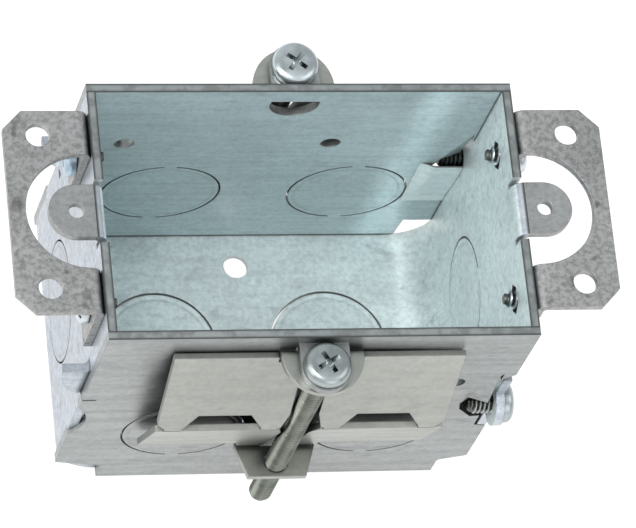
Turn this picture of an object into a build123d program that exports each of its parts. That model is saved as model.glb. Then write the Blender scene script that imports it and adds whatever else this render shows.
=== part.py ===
from build123d import *
import math
import os

# Gangable switch box in galvanised sheet steel, lying on its back with the opening up.
# Millimetres, +Z towards the opening, X along the length, origin at the bottom centre.
# Both clamps are alike. The side plates and what holds them mirror each other, nail holes apart.

# Box
LENGTH = 76.2            # over the end walls
WIDTH = 48.2             # over the side plates
DEPTH = 63.5             # back to rim
SHEET = 1.6              # box sheet
BACK_BEND = 10.0         # outer radius of the bends between back and end walls
INSIDE_BEND = 0.7        # inner radius of every sharp bend
FIT_GAP = 0.05           # air between pieces that slide or turn on each other

# Device tabs, bent out of the end walls at the rim
DEVICE_HOLE_OUT = 3.57   # tapped hole beyond the end wall, which sets the two 83.34 apart
DEVICE_HOLE_R = 1.4
TAB_HALF_WIDTH = 4.9
TAB_RELIEF = 1.0         # slot each side of the tab's root
TAB_RELIEF_DEPTH = 3.4

# Pry-outs
PRY_OUT_R = 11.1
PRY_OUT_GAP = 0.35       # sheared ring
PRY_OUT_TIE = 2.4        # metal left between disc and wall
BACK_PRY_OUT_X = 16.0
END_PRY_OUT_Z = 24.0
SIDE_PRY_OUT_X = 17.4
SIDE_PRY_OUT_Z = 21.1

# Plain holes
BACK_HOLE_R = 2.35
BACK_HOLE_Y = 16.3
NAIL_HOLE_R = 1.8
NAIL_HOLE_XS = (27.7, -9.9)
NAIL_HOLE_Z = 42.2

# Side plates
NOTCH_HEIGHT = 5.2       # lower corner notches, at their inner end
NOTCH_RISE = 2.0         # and how far they climb to the outer end
HOOK_NOTCH = 8.6         # length of the notch at the hook end
SCREW_NOTCH = 5.1        # and at the screw end
NOTCH_BEND = 1.2         # rounding of their inner corners
HOOK_NICK = (2.5, 0.5, 36.2)  # slit in the edge beside the hook: length, height, level
EDGE_CUT_Z = 26.6        # shallow round cut in the edge at the hook end
EDGE_CUT_R = 9.0
EDGE_CUT_DEPTH = 2.2
LAP = 0.8                # how far the end wall's edge stands into that cut

# Gang screw: holds a side plate to an end wall. Outlines here are (distance in from that end, level).
GANG_Z = 32.5
GANG_IN = 0.1            # screw's axis inside the side plate's face
GANG_R = 2.0
GANG_HEAD_R = 3.7
GANG_HEAD = 2.2
GANG_REACH = 4.4         # past the inside of the end wall
GANG_EAR_R = 4.2         # tapped ear that stands out of the end wall's edge
GANG_EAR_FOOT = 22.3     # the ear's straight part, flush with the side plate
GANG_EAR_TOP = 42.5
GANG_CUT = ((-1.0, 45.3), (0.0, 45.3), (2.2, 43.0), (2.2, 22.1), (0.0, 21.6), (-1.0, 21.6))
GANG_WINDOW = ((7.2, 32.3), (6.1, 35.1), (1.9, 35.1), (1.9, 26.5), (3.9, 26.1), (6.7, 29.7))
BULGE_TOP = (2.2, 46.0)  # the plate's corner is pressed outwards over the screw, about this fold line
BULGE_FOOT = (7.2, 32.6)
BULGE_ANGLE = 20.0

# Hook bent out of the edge of each end wall: flat top, round foot
HOOK_TOP = 45.4
HOOK_DROP = 10.2
HOOK_OUT = 4.9           # beyond the end wall
HOOK_BEND = 1.3          # inner radius of its bend
HOOK_SLIT = 0.3          # lanced gap above and below
HOOK_SLOT = (1.9, 1.2, 34.0)  # small slot in the end wall under the hook: width, height, level

SCREW_TIP = 0.5          # chamfer at the end of every shank
DRIVER_SLOT = (1.1, 0.7)  # width and depth of the slot in the gang and ear screws
HEAD_BEVEL = (0.5, 0.16)  # bevel of a pan head: share of its height, share of its radius

# Plaster ears
EAR_SHEET = 1.4
EAR_OUT = 15.3           # outer edge beyond the end wall
EAR_HALF_WIDTH = 18.9
EAR_CHAMFER = 3.4
EAR_HOLE_OUT = 9.2
EAR_HOLE_Y = 14.3
EAR_HOLE_R = 2.15
EAR_CUT_R = 10.7
EAR_CUT_OUT = 1.7        # centre of the round cut beyond the end wall
EAR_LEG = 15.2           # rim to the leg's foot
EAR_TRAVEL = 2.5         # adjustment each way
EAR_SCREW_DROP = 8.2
EAR_SCREW_Y = 13.9
EAR_SCREW_R = 1.7
EAR_SCREW_HEAD_R = 3.4
EAR_SCREW_HEAD = 2.0
EAR_SCREW_REACH = 2.0
EAR_SLOT_PLAY = 0.3      # round the screw, in the leg's slot
EAR_SCREW_HOLE = (1.1, -0.2, 0.15)  # six-sided hole: half length, flat and height, past the screw's radius

# Side clamps
CLAMP_OUT = 4.5          # clamp screw from the side plate's face
CLAMP_R = 2.08
CLAMP_HEAD_R = 4.1
CLAMP_HEAD = 2.4
CLAMP_FOOT = 1.9         # screw's tip above the back
LUG_TAB_HALF = 4.4       # box tab under the screw head
LUG_TAB_DROP = 2.5       # rim to the tab's top face
LUG_WINDOW_DROP = 9.8    # rim to the foot of the hole that the tab was lanced from
LUG_TAB_BEND = 1.4       # rounding under the tab's root
LUG_HOLE_PLAY = 0.32     # round the clamp screw, in the box tab and the strap's top lug
NUT_CLEARANCE = 0.08     # and in the tapped nut lug
STRAP = 1.2              # strap sheet
STRAP_HALF = 25.8
STRAP_STAND = 1.5        # pivots from the side plate's face
STRAP_LUG_R = 7.3
FOLD_OUT = 5.3           # fold line from the side plate's face, at rest
PANEL_LINK = 20.85       # pivot to pivot, the same for both panels
KNUCKLE_GAP = 0.08
KNUCKLE_SWEEP = 70.0     # how far the round of the fold reaches below the level
SLOT_PLAY = 0.52         # each side of the clamp screw, in the panels' slot
SLOT_FLARE = 4.2
WINDOW_IN = 7.1
WINDOW_OUT = 21.3
WINDOW_SLOPE = 2.4
WINDOW_HEIGHT = 4.0
END_STRIP = 24.4
END_NOTCH = 2.4          # height of the sloping notch outside it
LOWER_SHORT = 4.0        # panel's foot to the nut lug's bend
NECK_HALF = 7.3
NUT_LUG_OUT = 5.9
NUT_LUG_TIP = 5.3
RECESS_R = 2.6           # cross recess in the clamp screw's head
RECESS_DEPTH = 1.2
RECESS_ARM = 1.0
RECESS_TAPER = 12.0

half_length = LENGTH / 2
half_width = WIDTH / 2
inner_x = half_length - SHEET
inner_y = half_width - SHEET
bend_out = INSIDE_BEND + SHEET
gang_y = half_width - GANG_IN
clamp_y = half_width + CLAMP_OUT
lug_hole_r = CLAMP_R + LUG_HOLE_PLAY
slot_half = CLAMP_R + SLOT_PLAY
lug_top = DEPTH - LUG_TAB_DROP
lug_foot = lug_top - SHEET
strap_lug_top = lug_foot - FIT_GAP
pivot_z = strap_lug_top - STRAP
fold_z = pivot_z - math.sqrt(PANEL_LINK ** 2 - (FOLD_OUT - STRAP_STAND) ** 2)
nut_pivot_z = 2 * fold_z - pivot_z
panel_tilt = (math.degrees(math.asin((FOLD_OUT - STRAP_STAND) / PANEL_LINK))
              + math.degrees(math.asin(STRAP / PANEL_LINK)))
panel_length = math.sqrt(PANEL_LINK ** 2 - STRAP ** 2)


def disc(radius, height, centre, direction):
    """A cylinder from centre along direction."""
    plane = Plane(origin=centre, z_dir=direction)
    return extrude(plane * Circle(radius), height)


def outline(points, plane, height):
    """A straight-sided outline in a plane, extruded by height along the plane's normal."""
    return extrude(plane * make_face(Polyline(*points, close=True)), height)


def pry_out(centre, direction):
    """The sheared ring of a pry-out: two arcs with a tie left between them at each end."""
    plane = Plane(origin=centre, z_dir=direction)
    ring = Circle(PRY_OUT_R) - Circle(PRY_OUT_R - PRY_OUT_GAP)
    ring -= Rectangle(3 * PRY_OUT_R, PRY_OUT_TIE)
    return extrude(plane * ring, SHEET, both=True)


def at_far_end(shape):
    return Rot(Z=180) * shape


def in_from_end(points):
    """Turns (distance in from the +X end, level) into (x, z)."""
    return [(half_length - inwards, z) for inwards, z in points]


def at_both_sides(shape):
    return shape + mirror(shape, Plane.XZ)


def box_body():
    """Back, end walls and device tabs: one strip of sheet."""
    section = Plane.XZ * Rectangle(LENGTH, DEPTH, align=(Align.CENTER, Align.MIN))
    bottom = section.vertices().sort_by(Axis.Z)[:2]
    section = fillet(bottom, BACK_BEND)
    hollow = Plane.XZ * (Pos(0, SHEET) * Rectangle(2 * inner_x, DEPTH, align=(Align.CENTER, Align.MIN)))
    hollow = fillet(hollow.vertices().sort_by(Axis.Z)[:2], BACK_BEND - SHEET)
    body = extrude(section - hollow, inner_y, both=True)
    body = trimmed_rim(body)
    added, cut = body_end_features()
    body = body + added + at_far_end(added) - cut - at_far_end(cut)
    body = body - at_both_sides(hook_space()) + at_both_sides(hook() + edge_lap()) + at_both_sides(gang_ear())
    body -= at_both_sides(disc(GANG_R, 4 * SHEET, (inner_x - SHEET, -gang_y, GANG_Z), (1, 0, 0)))
    for x in (-BACK_PRY_OUT_X, BACK_PRY_OUT_X):
        body -= pry_out((x, 0, SHEET / 2), (0, 0, 1))
    body -= disc(BACK_HOLE_R, 4 * SHEET, (0, BACK_HOLE_Y, -SHEET), (0, 0, 1))
    return body


def trimmed_rim(body):
    """Takes the square top off the end walls where the device tabs bend out."""
    gap = Box(4 * SHEET, 2 * (TAB_HALF_WIDTH + TAB_RELIEF), TAB_RELIEF_DEPTH,
              align=(Align.CENTER, Align.CENTER, Align.MAX))
    for side in (-1, 1):
        body -= Pos(side * half_length, 0, DEPTH) * gap
    return body


def body_end_features():
    """What the +X end wall carries: device tab, holes and ring."""
    tab_end = half_length + DEVICE_HOLE_OUT
    tab = Pos(tab_end, 0) * Circle(TAB_HALF_WIDTH)
    tab += Pos(inner_x, 0) * Rectangle(tab_end - inner_x, 2 * TAB_HALF_WIDTH, align=(Align.MIN, Align.CENTER))
    tab = Pos(0, 0, DEPTH - SHEET) * extrude(tab, SHEET)
    root = Pos(inner_x, 0, DEPTH) * Box(SHEET, 2 * TAB_HALF_WIDTH, TAB_RELIEF_DEPTH,
                                        align=(Align.MIN, Align.CENTER, Align.MAX))
    tab = tab + root
    convex = tab.edges().filter_by(Axis.Y).group_by(Axis.Z)[-1].sort_by(Axis.X)[0]
    tab = fillet(convex, bend_out)
    concave = [e for e in tab.edges().filter_by(Axis.Y)
               if abs(e.center().X - half_length) < 0.01 and abs(e.center().Z - DEPTH + SHEET) < 0.01]
    tab = fillet(concave, INSIDE_BEND)
    tab -= disc(DEVICE_HOLE_R, 4 * SHEET, (tab_end, 0, DEPTH - 3 * SHEET), (0, 0, 1))
    cut = pry_out((half_length - SHEET / 2, 0, END_PRY_OUT_Z), (1, 0, 0))
    start = half_length - 2 * SHEET
    screw_z = DEPTH - EAR_SCREW_DROP
    for y in (-EAR_SCREW_Y, EAR_SCREW_Y):
        point, flat, height = [EAR_SCREW_R + past for past in EAR_SCREW_HOLE]
        sides = [(-point, 0), (-flat, height), (flat, height), (point, 0), (flat, -height), (-flat, -height)]
        plane = Plane(origin=(start, y, screw_z), x_dir=(0, 1, 0), z_dir=(1, 0, 0))
        cut += outline(sides, plane, 4 * SHEET)
    return tab, cut


def hook_space():
    """What the hook at the -X end is lanced out of, and the small slot under it."""
    width = HOOK_BEND + SHEET
    space = Pos(-half_length, -inner_y, HOOK_TOP + HOOK_SLIT) * Box(
        4 * SHEET, 2 * width, HOOK_DROP + 2 * HOOK_SLIT, align=(Align.CENTER, Align.CENTER, Align.MAX))
    slot_width, slot_height, level = HOOK_SLOT
    return space + Pos(-half_length, slot_width - inner_y, level) * Box(4 * SHEET, slot_width, slot_height)


def hook():
    """The end wall's edge bent outwards through a right angle, with a flat top and a round foot."""
    width = HOOK_BEND + SHEET
    bend = Circle(width) - Circle(HOOK_BEND)
    bend &= Rectangle(width, width, align=(Align.MAX, Align.MIN))
    bend += Pos(0, HOOK_BEND) * Rectangle(HOOK_OUT - HOOK_BEND, SHEET, align=(Align.MIN, Align.MIN))
    bend += Pos(-HOOK_BEND, 0) * Rectangle(SHEET, width - HOOK_BEND, align=(Align.MAX, Align.MAX))
    centre = Pos(half_length + HOOK_BEND, inner_y - width, HOOK_TOP - HOOK_DROP)
    tab = centre * extrude(bend, HOOK_DROP)
    plane = Plane(origin=(0, inner_y + SHEET, 0), x_dir=(1, 0, 0), z_dir=(0, -1, 0))
    profile = Pos(inner_x, HOOK_TOP) * Ellipse(HOOK_OUT + SHEET, HOOK_DROP)
    return at_far_end(tab & extrude(plane * profile, 4 * width))


def edge_lap():
    """The end wall's edge at the -X end, standing a little way into the round cut in the side plate."""
    plane = Plane(origin=(0, inner_y + LAP, 0), x_dir=(1, 0, 0), z_dir=(0, -1, 0))
    lens = Pos(half_length - EDGE_CUT_DEPTH + EDGE_CUT_R, EDGE_CUT_Z) * Circle(EDGE_CUT_R - FIT_GAP)
    lens &= Pos(inner_x, EDGE_CUT_Z) * Rectangle(SHEET, 2 * EDGE_CUT_R, align=(Align.MIN, Align.CENTER))
    return at_far_end(extrude(plane * lens, LAP))


def gang_ear():
    """The tapped ear on the edge of the +X end wall, which fills the cut in the side plate's end."""
    plane = Plane(origin=(inner_x, 0, 0), x_dir=(0, 1, 0), z_dir=(1, 0, 0))
    shape = Pos(-gang_y, GANG_Z) * Circle(GANG_EAR_R)
    size = 4 * GANG_EAR_R
    shape &= Pos(-inner_y, GANG_Z) * Rectangle(size, size, align=(Align.MAX, Align.CENTER))
    height = GANG_EAR_TOP - GANG_EAR_FOOT
    shape += Pos(-inner_y, GANG_EAR_FOOT) * Rectangle(SHEET, height, align=(Align.MAX, Align.MIN))
    return extrude(plane * shape, SHEET)


def side_plate():
    """The plate on the -Y side: hook end at -X, gang screw end at +X."""
    points = [(-half_length, DEPTH), (half_length, DEPTH), (half_length, NOTCH_HEIGHT + NOTCH_RISE),
              (half_length - SCREW_NOTCH, NOTCH_HEIGHT), (half_length - SCREW_NOTCH, 0),
              (HOOK_NOTCH - half_length, 0), (HOOK_NOTCH - half_length, NOTCH_HEIGHT),
              (-half_length, NOTCH_HEIGHT + NOTCH_RISE)]
    plane = Plane(origin=(0, -inner_y, 0), x_dir=(1, 0, 0), z_dir=(0, -1, 0))
    plate = outline(points, plane, SHEET)
    inner_corner = [e for e in plate.edges().filter_by(Axis.Y)
                    if abs(e.center().Z - NOTCH_HEIGHT) < 0.01]
    plate = fillet(inner_corner, NOTCH_BEND)
    plate -= lug_window()
    plate += lug_tab()
    plate = plate - hook_end_cuts() - gang_end_cuts() + bulge()
    for x in (-SIDE_PRY_OUT_X, SIDE_PRY_OUT_X):
        plate -= pry_out((x, -inner_y - SHEET / 2, SIDE_PRY_OUT_Z), (0, 1, 0))
    return plate


def nail_holes(way):
    """The two holes of one side plate, which run the other way along X in the other plate."""
    near = [disc(NAIL_HOLE_R, WIDTH / 2, (way * x, way * -inner_y + way * SHEET, NAIL_HOLE_Z), (0, -way, 0))
            for x in NAIL_HOLE_XS]
    return near[0] + near[1]


def lug_window():
    """The D-shaped hole that the screw tab was lanced from."""
    centre_z = DEPTH - LUG_WINDOW_DROP + LUG_TAB_HALF
    shape = Pos(0, centre_z) * Circle(LUG_TAB_HALF)
    shape += Pos(0, lug_foot) * Rectangle(2 * LUG_TAB_HALF, lug_foot - centre_z,
                                          align=(Align.CENTER, Align.MAX))
    shape &= Pos(0, lug_foot) * Rectangle(4 * LUG_TAB_HALF, DEPTH, align=(Align.CENTER, Align.MAX))
    plane = Plane(origin=(0, -inner_y + SHEET, 0), x_dir=(1, 0, 0), z_dir=(0, -1, 0))
    return extrude(plane * shape, 3 * SHEET)


def lug_tab():
    """The round-ended tab bent out under the clamp screw's head."""
    shape = Pos(0, -clamp_y) * Circle(LUG_TAB_HALF)
    shape += Pos(0, -inner_y) * Rectangle(2 * LUG_TAB_HALF, clamp_y - inner_y,
                                          align=(Align.CENTER, Align.MAX))
    tab = Pos(0, 0, lug_foot) * extrude(shape, SHEET)
    convex = [e for e in tab.edges().filter_by(Axis.X)
              if abs(e.center().Y + inner_y) < 0.01 and e.center().Z < lug_foot + 0.01]
    tab = fillet(convex, LUG_TAB_BEND)
    tab -= disc(lug_hole_r, 4 * SHEET, (0, -clamp_y, lug_foot - SHEET), (0, 0, 1))
    return tab


def hook_end_cuts():
    """The nick beside the hook and the round cut below it."""
    length, height, level = HOOK_NICK
    nick = Pos(-half_length, -inner_y, level) * Box(2 * length, 4 * SHEET, height)
    centre = (EDGE_CUT_DEPTH - EDGE_CUT_R - half_length, -inner_y + SHEET, EDGE_CUT_Z)
    return nick + disc(EDGE_CUT_R, 3 * SHEET, centre, (0, -1, 0))


def gang_end_cuts():
    """The opening beside the gang screw, the set-back end of the plate and the corner that bulges."""
    plane = Plane(origin=(0, -inner_y + SHEET, 0), x_dir=(1, 0, 0), z_dir=(0, -1, 0))
    window, edge, corner = [outline(points, plane, 3 * SHEET) for points in (
        in_from_end(GANG_WINDOW), in_from_end(GANG_CUT), bulge_points())]
    return window + edge + corner


def bulge_points():
    """The corner that bulges, down to the window's upper edge."""
    corner = GANG_WINDOW[1]
    return in_from_end((BULGE_FOOT, corner, (BULGE_TOP[0], corner[1]), BULGE_TOP))


def bulge():
    """The plate's corner over the gang screw, turned outwards about its slanting fold."""
    plane = Plane(origin=(0, -inner_y, 0), x_dir=(1, 0, 0), z_dir=(0, -1, 0))
    flap = outline(bulge_points(), plane, SHEET)
    (foot_x, foot_z), (top_x, top_z) = in_from_end((BULGE_FOOT, BULGE_TOP))
    foot = Vector(foot_x, -inner_y, foot_z)
    return flap.rotate(Axis(foot, Vector(top_x, -inner_y, top_z) - foot), -BULGE_ANGLE)


def pan_head(radius, height, centre, direction):
    """A pan head with a bevelled rim, standing from centre along direction."""
    head = disc(radius, height, centre, direction)
    top = head.faces().sort_by(Axis(centre, direction))[-1]
    return chamfer(top.edges(), height * HEAD_BEVEL[0], radius * HEAD_BEVEL[1])


def cross_recess(centre, direction):
    plane = Plane(origin=centre, z_dir=direction)
    cross = Rectangle(2 * RECESS_R, RECESS_ARM) + Rectangle(RECESS_ARM, 2 * RECESS_R)
    return extrude(plane * cross, -RECESS_DEPTH, taper=RECESS_TAPER)


def driver_slot(top, radius):
    """The slot across the head of a screw that points along X."""
    width, depth = DRIVER_SLOT
    return Pos(*top) * Box(2 * depth, 3 * radius, width)


def gang_screw():
    seat = half_length
    head = pan_head(GANG_HEAD_R, GANG_HEAD, (seat, -gang_y, GANG_Z), (1, 0, 0))
    shank = disc(GANG_R, SHEET + GANG_REACH, (seat, -gang_y, GANG_Z), (-1, 0, 0))
    shank = chamfer(shank.faces().sort_by(Axis.X)[0].edges(), SCREW_TIP)
    return head + shank - driver_slot((seat + GANG_HEAD, -gang_y, GANG_Z), GANG_HEAD_R)


def ear():
    """The +X plaster ear: a flat ear with two legs bent down the end wall."""
    wall = half_length + FIT_GAP
    reach = half_length + EAR_OUT
    points = [(wall, -EAR_HALF_WIDTH), (reach - EAR_CHAMFER, -EAR_HALF_WIDTH),
              (reach, EAR_CHAMFER - EAR_HALF_WIDTH), (reach, EAR_HALF_WIDTH - EAR_CHAMFER),
              (reach - EAR_CHAMFER, EAR_HALF_WIDTH), (wall, EAR_HALF_WIDTH)]
    flat = outline(points, Plane.XY.offset(DEPTH - EAR_SHEET), EAR_SHEET)
    legs = Pos(wall, 0, DEPTH) * Box(EAR_SHEET, 2 * EAR_HALF_WIDTH, EAR_LEG,
                                     align=(Align.MIN, Align.CENTER, Align.MAX))
    shape = flat + legs
    convex = [e for e in shape.edges().filter_by(Axis.Y)
              if abs(e.center().X - wall) < 0.01 and e.center().Z > DEPTH - 0.01]
    shape = fillet(convex, INSIDE_BEND + EAR_SHEET)
    corner = (wall + EAR_SHEET, DEPTH - EAR_SHEET)
    concave = [e for e in shape.edges().filter_by(Axis.Y)
               if abs(e.center().X - corner[0]) < 0.01 and abs(e.center().Z - corner[1]) < 0.01]
    shape = fillet(concave, INSIDE_BEND)
    shape -= disc(EAR_CUT_R, 2 * DEPTH, (half_length + EAR_CUT_OUT, 0, 0), (0, 0, 1))
    shape -= Pos(half_length, 0, 0) * Box(2 * EAR_CUT_OUT, 2 * EAR_CUT_R, 3 * DEPTH)
    for y in (-EAR_HOLE_Y, EAR_HOLE_Y):
        shape -= disc(EAR_HOLE_R, DEPTH, (half_length + EAR_HOLE_OUT, y, DEPTH / 2), (0, 0, 1))
    slot = SlotCenterToCenter(2 * EAR_TRAVEL, 2 * (EAR_SCREW_R + EAR_SLOT_PLAY))
    plane = Plane(origin=(half_length, 0, DEPTH - EAR_SCREW_DROP), x_dir=(0, 0, 1), z_dir=(1, 0, 0))
    for y in (-EAR_SCREW_Y, EAR_SCREW_Y):
        shape -= Pos(0, y, 0) * extrude(plane * slot, 3 * EAR_SHEET)
    return shape


def ear_screw(y):
    seat = half_length + 2 * FIT_GAP + EAR_SHEET
    centre = (seat, y, DEPTH - EAR_SCREW_DROP)
    head = pan_head(EAR_SCREW_HEAD_R, EAR_SCREW_HEAD, centre, (1, 0, 0))
    reach = seat - inner_x + EAR_SCREW_REACH
    shank = disc(EAR_SCREW_R, reach, centre, (-1, 0, 0))
    shank = chamfer(shank.faces().sort_by(Axis.X)[0].edges(), SCREW_TIP)
    return head + shank - driver_slot((seat + EAR_SCREW_HEAD, y, DEPTH - EAR_SCREW_DROP), EAR_SCREW_HEAD_R)


def clamp_screw():
    """The long screw of the -Y clamp. Its fine thread is left off."""
    seat = lug_top + FIT_GAP
    head = pan_head(CLAMP_HEAD_R, CLAMP_HEAD, (0, -clamp_y, seat), (0, 0, 1))
    shank = disc(CLAMP_R, seat - CLAMP_FOOT, (0, -clamp_y, seat), (0, 0, -1))
    shank = chamfer(shank.faces().sort_by(Axis.Z)[0].edges(), SCREW_TIP)
    return head + shank - cross_recess((0, -clamp_y, seat + CLAMP_HEAD), (0, 0, 1))


def across(points, x_from, x_to):
    """A section drawn as (distance out from the side plate, height), run along X."""
    flat = [(-half_width - out, z) for out, z in points]
    plane = Plane(origin=(x_from, 0, 0), x_dir=(0, 1, 0), z_dir=(1, 0, 0))
    return outline(flat, plane, x_to - x_from)


def rod(out, z, radius, x_from, x_to):
    return disc(radius, x_to - x_from, (x_from, -half_width - out, z), (1, 0, 0))


def quarter(out, z, x_from, x_to, up):
    """The round of a bend between a lug and a panel: a quarter rod about the pivot, on the wall side."""
    size = 2 * STRAP
    box = Pos(0, -half_width - out, z) * Box(LENGTH, size, size, align=(
        Align.CENTER, Align.MIN, Align.MIN if up else Align.MAX))
    return rod(out, z, STRAP, x_from, x_to) & box


def hinge_strips():
    """X ranges where lug and panel are one sheet, either side of the screw slot."""
    return ((-STRAP_LUG_R, -slot_half), (slot_half, STRAP_LUG_R))


def fold_strips():
    """X ranges of the four bridges at the fold line."""
    return ((-END_STRIP, -WINDOW_OUT), (-WINDOW_IN, -SLOT_FLARE),
            (SLOT_FLARE, WINDOW_IN), (WINDOW_OUT, END_STRIP))


def strap_lug():
    """The strap's D-shaped top lug, held under the box tab by the screw."""
    centre = -half_width - STRAP_STAND
    shape = Pos(0, centre) * Circle(STRAP_LUG_R)
    shape &= Pos(0, centre) * Rectangle(4 * STRAP_LUG_R, 2 * STRAP_LUG_R, align=(Align.CENTER, Align.MAX))
    lug = Pos(0, 0, pivot_z) * extrude(shape, STRAP)
    for x_from, x_to in hinge_strips():
        lug += quarter(STRAP_STAND, pivot_z, x_from, x_to, True)
    lug -= disc(lug_hole_r, 4 * STRAP, (0, -clamp_y, pivot_z - STRAP), (0, 0, 1))
    return lug


def panel_frame(foot):
    """The plane of a panel's outer face at rest: x along X, y down from the top pivot, z out of the box."""
    tilt = math.radians(panel_tilt)
    if foot:
        top = (0, -half_width - STRAP_STAND, nut_pivot_z)
        return Plane(origin=top, x_dir=(-1, 0, 0), z_dir=(0, -math.cos(tilt), -math.sin(tilt)))
    top = (0, -half_width - STRAP_STAND, pivot_z)
    return Plane(origin=top, x_dir=(1, 0, 0), z_dir=(0, -math.cos(tilt), math.sin(tilt)))


def screw_slot():
    """Half of the slot that clears the screw, drawn with the pivot at the origin and the panel along -y."""
    flare = panel_length - WINDOW_HEIGHT
    return make_face(Polyline((-slot_half, 2), (slot_half, 2), (slot_half, -flare),
                              (SLOT_FLARE, -panel_length - 2), (-SLOT_FLARE, -panel_length - 2),
                              (-slot_half, -flare), close=True))


def fold_window(side):
    top = WINDOW_HEIGHT - panel_length
    points = [(WINDOW_IN, -panel_length - 2), (WINDOW_OUT, -panel_length - 2), (WINDOW_OUT, -panel_length),
              (WINDOW_OUT - WINDOW_SLOPE, top), (WINDOW_IN + WINDOW_SLOPE, top), (WINDOW_IN, -panel_length)]
    return make_face(Polyline(*[(side * x, y) for x, y in points], close=True))


def upper_panel():
    """From the top lug down and out to the fold, with windows that leave four bridges."""
    shape = Rectangle(2 * STRAP_HALF, panel_length, align=(Align.CENTER, Align.MAX))
    shape -= screw_slot()
    for side in (-1, 1):
        shape -= fold_window(side)
        corner = [(END_STRIP, -panel_length - 1), (STRAP_HALF + 1, -panel_length - 1),
                  (STRAP_HALF + 1, END_NOTCH - panel_length), (END_STRIP, -panel_length)]
        shape -= make_face(Polyline(*[(side * x, y) for x, y in corner], close=True))
    panel = extrude(panel_frame(False) * shape, -STRAP)
    for x_from, x_to in hinge_strips():
        panel -= rod(STRAP_STAND, pivot_z, STRAP + KNUCKLE_GAP, x_from - FIT_GAP, x_to + FIT_GAP)
    for x_from, x_to in fold_strips():
        panel += fold_round(x_from, x_to)
    return panel


def fold_round(x_from, x_to):
    """The outside of the fold: a sector of a rod about the fold line, from the upper panel round."""
    tilt = math.radians(panel_tilt)
    far = 3 * STRAP
    up = (math.cos(tilt), math.sin(tilt))
    down = (math.cos(math.radians(KNUCKLE_SWEEP)), -math.sin(math.radians(KNUCKLE_SWEEP)))
    points = [(FOLD_OUT, fold_z), (FOLD_OUT + far * up[0], fold_z + far * up[1]),
              (FOLD_OUT + far, fold_z), (FOLD_OUT + far * down[0], fold_z + far * down[1])]
    return rod(FOLD_OUT, fold_z, STRAP, x_from, x_to) & across(points, x_from, x_to)


def lower_panel():
    """From the fold back to the box, narrowing to the neck of the nut lug."""
    shape = Pos(0, -LOWER_SHORT) * Rectangle(2 * STRAP_HALF, panel_length - LOWER_SHORT - FIT_GAP,
                                             align=(Align.CENTER, Align.MAX))
    shape += Rectangle(2 * NECK_HALF, LOWER_SHORT + 1, align=(Align.CENTER, Align.MAX))
    shape -= screw_slot()
    panel = extrude(panel_frame(True) * shape, -STRAP)
    for x_from, x_to in hinge_strips():
        panel -= rod(STRAP_STAND, nut_pivot_z, STRAP + KNUCKLE_GAP, x_from - FIT_GAP, x_to + FIT_GAP)
    for x_from, x_to in fold_strips():
        panel -= rod(FOLD_OUT, fold_z, STRAP + KNUCKLE_GAP, x_from - FIT_GAP, x_to + FIT_GAP)
    return panel


def nut_lug():
    """The tapped lug at the strap's foot, which the screw draws up."""
    root = -half_width - STRAP_STAND
    tip = root - NUT_LUG_OUT
    shape = make_face(Polyline((-NECK_HALF, root), (NECK_HALF, root), (NUT_LUG_TIP, tip), (-NUT_LUG_TIP, tip),
                               close=True))
    lug = Pos(0, 0, nut_pivot_z - STRAP) * extrude(shape, STRAP)
    for x_from, x_to in hinge_strips():
        lug += quarter(STRAP_STAND, nut_pivot_z, x_from, x_to, False)
    return lug - disc(CLAMP_R + NUT_CLEARANCE, 4 * STRAP, (0, -clamp_y, nut_pivot_z - 2 * STRAP), (0, 0, 1))


def make_parts():
    parts = {"box_body": box_body()}
    right_ear = ear()
    parts["right_ear"] = right_ear
    parts["left_ear"] = at_far_end(right_ear)
    for name, y in (("near", -EAR_SCREW_Y), ("far", EAR_SCREW_Y)):
        parts[f"right_ear_screw_{name}"] = ear_screw(y)
        parts[f"left_ear_screw_{name}"] = at_far_end(ear_screw(-y))
    plate = side_plate()
    screw = gang_screw()
    parts["near_side_plate"] = plate - nail_holes(1)
    parts["far_side_plate"] = mirror(plate, Plane.XZ) - nail_holes(-1)
    parts["near_gang_screw"] = screw
    parts["far_gang_screw"] = mirror(screw, Plane.XZ)
    clamp = {"clamp_screw": clamp_screw(), "strap_lug": strap_lug(), "strap_upper_panel": upper_panel(),
             "strap_lower_panel": lower_panel(), "strap_nut_lug": nut_lug()}
    for name, piece in clamp.items():
        parts[f"near_{name}"] = piece
        parts[f"far_{name}"] = at_far_end(piece)
    return parts


os.makedirs("parts", exist_ok=True)
for node, solid in make_parts().items():
    export_step(solid, f"parts/{node}.step")
print(f"pivot {STRAP_STAND + half_width:.3f} {pivot_z:.3f}, fold {FOLD_OUT + half_width:.3f} {fold_z:.3f}, "
      f"nut pivot {nut_pivot_z:.3f}, panel tilt {panel_tilt:.2f}")
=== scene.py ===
import math

import bmesh
import bpy
from mathutils import Matrix, Vector


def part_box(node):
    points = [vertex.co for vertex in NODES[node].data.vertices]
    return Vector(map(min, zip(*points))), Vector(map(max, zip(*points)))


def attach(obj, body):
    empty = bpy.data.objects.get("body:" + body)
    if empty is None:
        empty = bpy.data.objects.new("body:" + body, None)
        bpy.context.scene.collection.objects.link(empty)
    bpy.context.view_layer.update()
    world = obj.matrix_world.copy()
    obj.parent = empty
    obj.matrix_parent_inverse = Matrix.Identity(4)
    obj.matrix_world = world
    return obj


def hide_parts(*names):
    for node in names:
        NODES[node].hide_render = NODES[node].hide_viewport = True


# Galvanised switch box on a white ground. Metres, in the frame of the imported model.

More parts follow.
